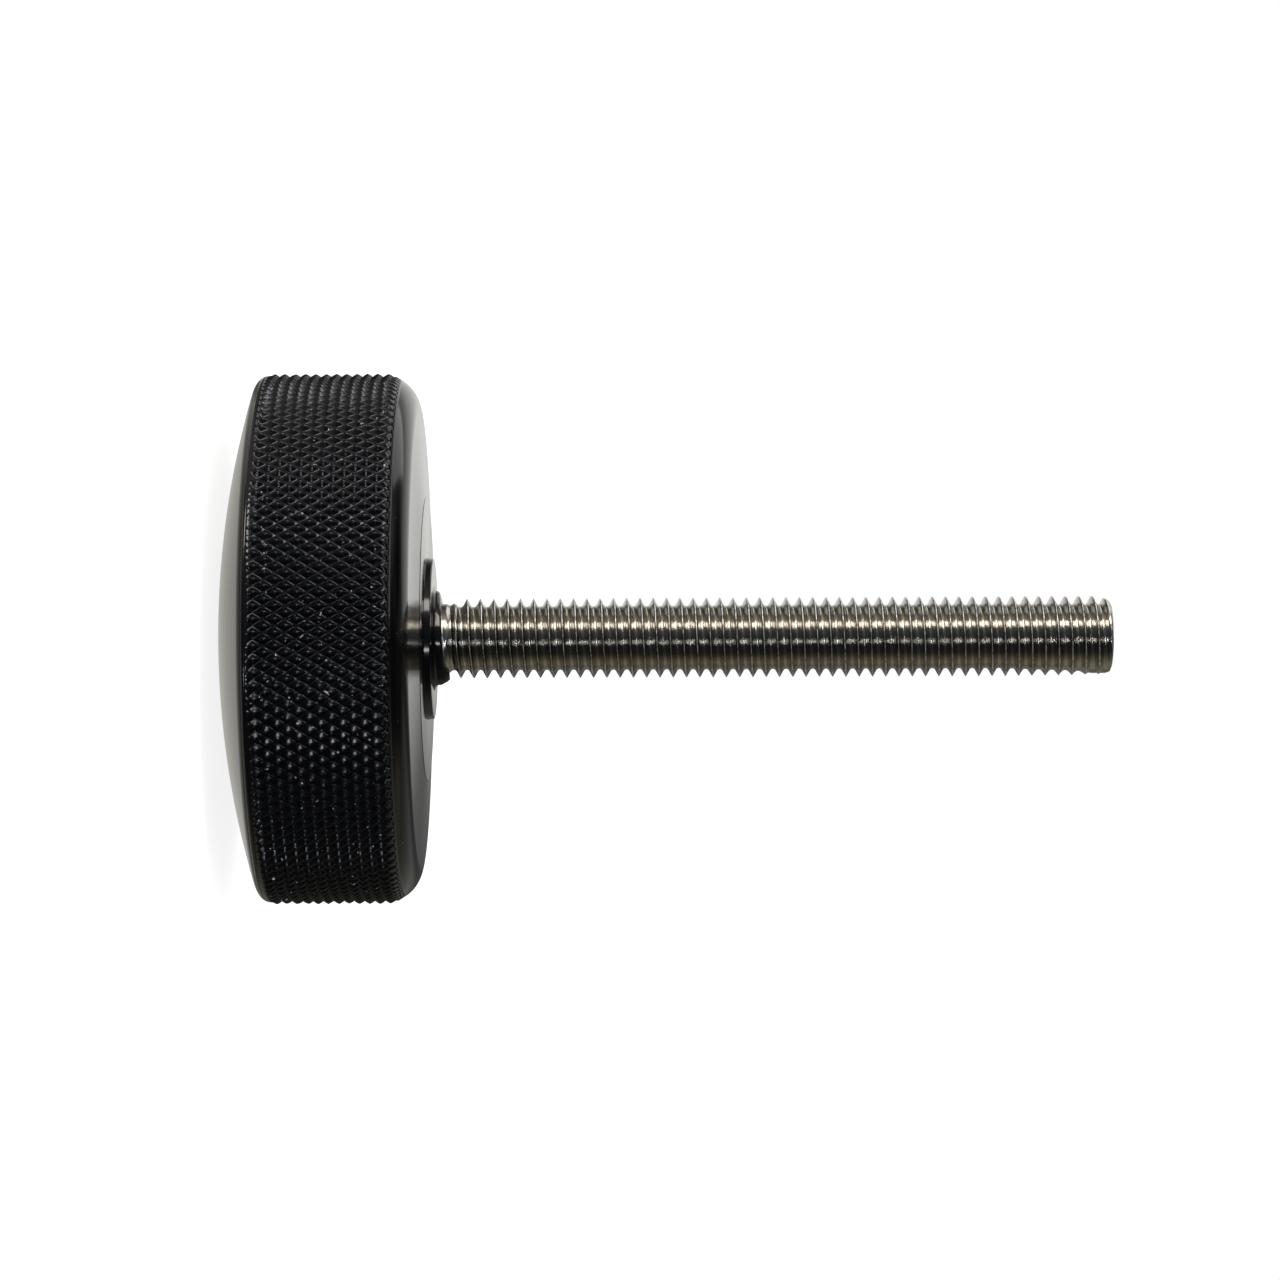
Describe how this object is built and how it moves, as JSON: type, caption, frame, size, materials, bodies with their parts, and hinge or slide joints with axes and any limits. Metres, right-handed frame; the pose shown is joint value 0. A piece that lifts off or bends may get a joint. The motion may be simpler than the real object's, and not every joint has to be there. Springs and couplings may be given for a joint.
{
  "type": "thumb knob",
  "caption": "Round thumb knob with a diamond-knurled rim, a domed front and a long threaded stud on its back.",
  "frame": {"origin": "crown of the domed front, on the axis, which is the lowest point", "axes": "+Z along the stud, from the head towards the free end"},
  "size_m": [0.0398, 0.0398, 0.0671],
  "materials": {
    "anodised_head": "turned, diamond knurled, satin black anodised",
    "stud_steel": "plain stainless, rolled thread",
    "set_adhesive": "glossy black, set as it ran"
  },
  "bodies": {
    "root": {"knob_head": "anodised_head", "threaded_stud": "stud_steel", "thread_adhesive": "set_adhesive"}
  },
  "joints": []
}
